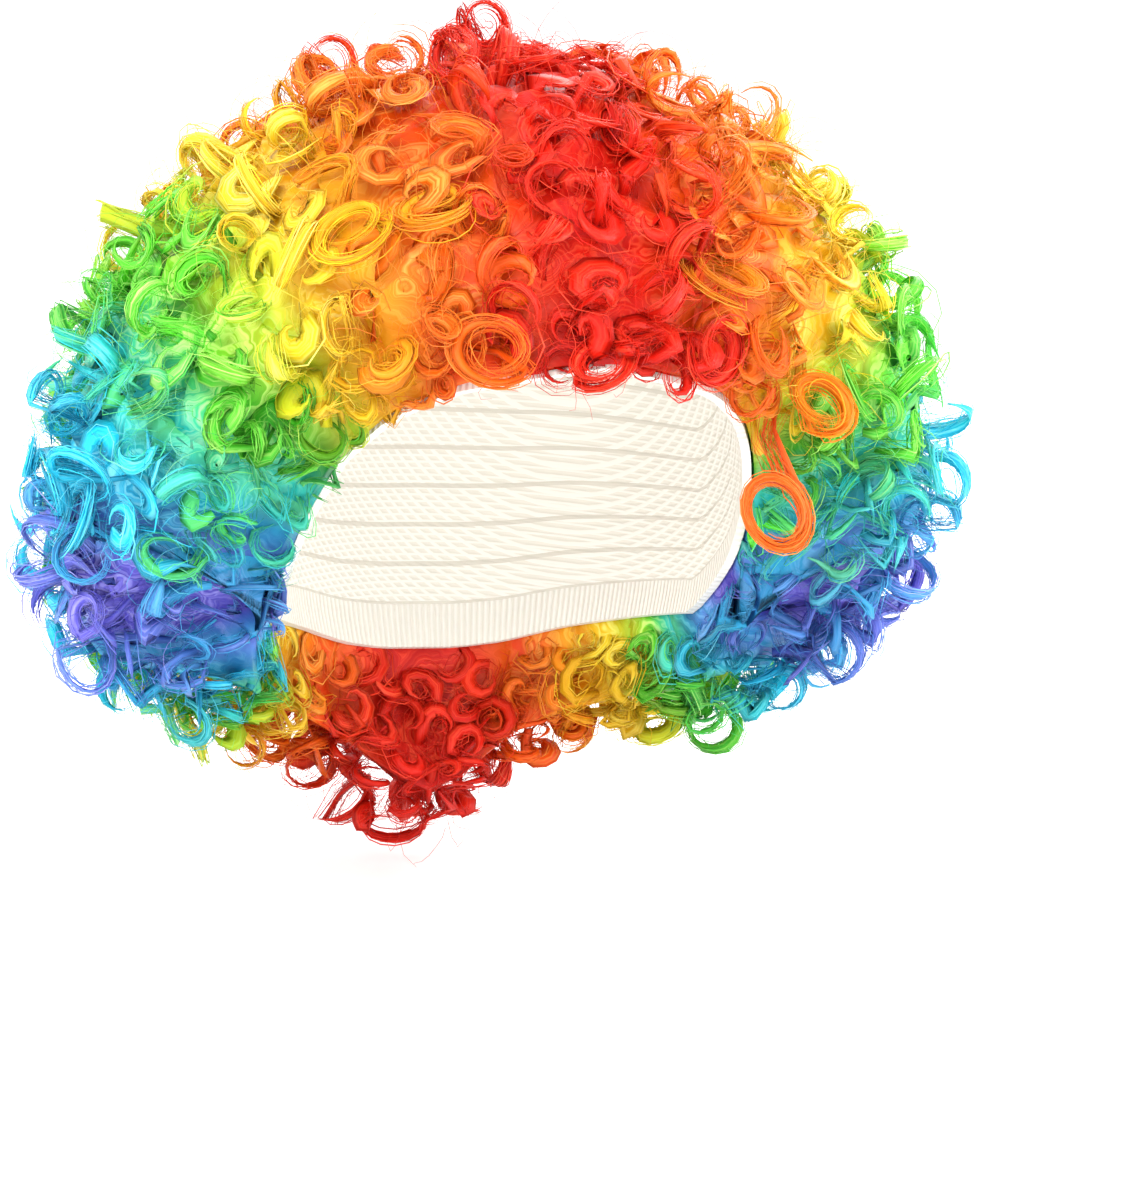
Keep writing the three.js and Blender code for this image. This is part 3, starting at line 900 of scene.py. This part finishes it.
def capPiece():
    bpy.ops.object.select_all(action="DESELECT")
    bpy.ops.mesh.primitive_uv_sphere_add(segments=cap["around"], ring_count=cap["rings"], radius=1)
    piece = bpy.context.object
    piece.name = piece.data.name = "stretch_cap"
    bpy.ops.object.mode_set(mode="EDIT")
    bpy.ops.mesh.select_all(action="DESELECT")
    bpy.ops.object.mode_set(mode="OBJECT")
    for face in piece.data.polygons:
        face.select = face.center.z < 0
    bpy.ops.object.mode_set(mode="EDIT")
    bpy.ops.mesh.delete(type="FACE")
    bpy.ops.object.mode_set(mode="OBJECT")
    mesh = piece.data
    points = np.empty(len(mesh.vertices) * 3)
    mesh.vertices.foreach_get("co", points)
    ways = unit(points.reshape(-1, 3))
    around = np.degrees(np.arctan2(np.abs(ways[:, 0]), -ways[:, 1]))
    ends = np.interp(around, hairline["around"], hairline["capEnds"])
    height = np.degrees(np.arcsin(np.clip(ways[:, 2], 0, 1)))
    height = np.radians(90 - (90 - height) * (90 - ends) / 90)
    level = unit(ways[:, :2] + 1e-9)
    ways = np.concatenate([level * np.cos(height)[:, None], np.sin(height)[:, None]], -1)
    mesh.vertices.foreach_set("co", (ways * reach(wigForm["head"], ways)[:, None] + middle).ravel())
    mesh.update()
    wall = piece.modifiers.new("wall", "SOLIDIFY")
    wall.thickness = wigForm["capWall"]
    wall.offset = 1
    bpy.ops.object.modifier_apply(modifier="wall")
    bpy.ops.object.shade_smooth_by_angle(angle=math.radians(cap["sharp"]))
    return piece


def knitMaterial():
    material = bpy.data.materials.new("cap_knit")
    material.use_nodes = True
    put, node, maths, mixValue, mixColour = nodeTools(material.node_tree)

    def wave(place, scale, bands):
        inputs = {"Vector": place, "Scale": scale}
        return node("ShaderNodeTexWave", inputs, bands_direction=bands).outputs["Fac"]

    flat = node("ShaderNodeUVMap", uv_map="UVMap").outputs[0]
    around, up, _ = node("ShaderNodeSeparateXYZ", {0: flat}).outputs
    upShare = maths("MULTIPLY", maths("SUBTRACT", up, 0.5), 2)  # 0 at the edge, 1 at the crown
    place = node("ShaderNodeTexCoord").outputs["Object"]
    waveScale = math.pi / 10  # of Blender's wave, for one band in each unit
    threads = [wave(place, waveScale / cap["net"], bands) for bands in ("DIAGONAL", "Z")]
    net = maths("MAXIMUM", *threads)
    row = maths("LESS_THAN", maths("FRACT", maths("MULTIPLY", upShare, cap["rows"])), cap["rowWide"])
    elastic = maths("LESS_THAN", upShare, cap["edge"])
    ribs = wave(node("ShaderNodeCombineXYZ", {0: around}).outputs[0], cap["ribs"] * waveScale, "X")
    netted = mixColour(maths("GREATER_THAN", net, cap["netGap"]), cap["gap"], cap["thread"])
    sewn = mixColour(row, netted, cap["stitch"])
    ribbed = mixColour(ribs, cap["gap"], cap["thread"])
    height = mixValue(elastic, maths("ADD", maths("MULTIPLY", net, cap["netHigh"]), row), ribs)
    relief = {"Strength": cap["bump"], "Distance": cap["bumpHigh"], "Height": height}
    shader = material.node_tree.nodes["Principled BSDF"].inputs
    put(mixColour(elastic, sewn, ribbed), shader["Base Color"])
    put(node("ShaderNodeBump", relief).outputs[0], shader["Normal"])
    shader["Roughness"].default_value = cap["rough"]
    shader["Specular IOR Level"].default_value = cap["shine"]
    return material


dress(capPiece(), knitMaterial(), "cap")
print("cap made")

# Floor, light and camera
studio = {
    "floorAt": cadBox[0][2] - 0.004,
    "floorSize": 60,
    "floorWhite": (0.95, 0.95, 0.95, 1),
    "floorRough": 0.9,
    "world": 1.5,
    "key": {"at": (-1.0, -1.5, 1.4), "size": 1.2, "power": 40},
    "fill": {"at": (1.6, -0.9, 0.6), "size": 1.4, "power": 30},
    "rim": {"at": (1.0, 1.3, 1.0), "size": 1.2, "power": 16},
}
bpy.ops.object.select_all(action="DESELECT")
bpy.ops.mesh.primitive_plane_add(size=studio["floorSize"], location=(0, 0, studio["floorAt"]))
floor = bpy.context.object
floor.name = "floor"
floorWhite = bpy.data.materials.new("floor_white")
floorWhite.use_nodes = True
floorShader = floorWhite.node_tree.nodes["Principled BSDF"].inputs
floorShader["Base Color"].default_value = studio["floorWhite"]
floorShader["Roughness"].default_value = studio["floorRough"]
floor.data.materials.append(floorWhite)

world = bpy.data.worlds.new("studio")
bpy.context.scene.world = world
world.use_nodes = True
background = world.node_tree.nodes["Background"].inputs
background["Color"].default_value = (1, 1, 1, 1)
background["Strength"].default_value = studio["world"]


def softLight(name):
    lamp = studio[name]
    light = bpy.data.lights.new(name, "AREA")
    light.size = lamp["size"]
    light.energy = lamp["power"]
    body = bpy.data.objects.new(name, light)
    bpy.context.scene.collection.objects.link(body)
    body.location = lamp["at"]
    aim = middle - np.array(lamp["at"])
    body.rotation_euler = Vector(aim).to_track_quat("-Z", "Y").to_euler()


for name in ("key", "fill", "rim"):
    softLight(name)

bpy.context.scene.view_settings.view_transform = "Standard"

# The camera: turned off the front, from a little above, its picture is 1140 by 1200.
view = {
    "yaw": 20.5,
    "pitch": 9,
    "roll": 3,
    "far": 1.4,
    "scale": 2940,  # pixels for each metre at the middle of the wig
    "seenAt": (505, 523),  # where that middle is seen
    "picture": (1140, 1200),
    "sensor": 36,  # millimetres
    "clipEnd": 100,
}


def placeCamera():
    yaw, pitch, roll = (math.radians(view[k]) for k in ("yaw", "pitch", "roll"))
    back = np.array((-math.sin(yaw) * math.cos(pitch), -math.cos(yaw) * math.cos(pitch), math.sin(pitch)))
    right = np.array((math.cos(yaw), -math.sin(yaw), 0))
    up = np.cross(back, right)
    right, up = right * math.cos(roll) + up * math.sin(roll), up * math.cos(roll) - right * math.sin(roll)
    aside = (view["picture"][0] / 2 - view["seenAt"][0]) / view["scale"]
    below = (view["picture"][1] / 2 - view["seenAt"][1]) / view["scale"]
    at = middle + back * view["far"] + right * aside - up * below
    lens = bpy.data.cameras.new("camera")
    lens.sensor_width = view["sensor"]
    lens.lens = view["scale"] * view["far"] / max(view["picture"]) * lens.sensor_width
    lens.clip_end = view["clipEnd"]
    body = bpy.data.objects.new("camera", lens)
    bpy.context.scene.collection.objects.link(body)
    body.matrix_world = Matrix((
        (right[0], up[0], back[0], at[0]),
        (right[1], up[1], back[1], at[1]),
        (right[2], up[2], back[2], at[2]),
        (0, 0, 0, 1),
    ))
    bpy.context.scene.camera = body


placeCamera()
print("floor, light and camera set")
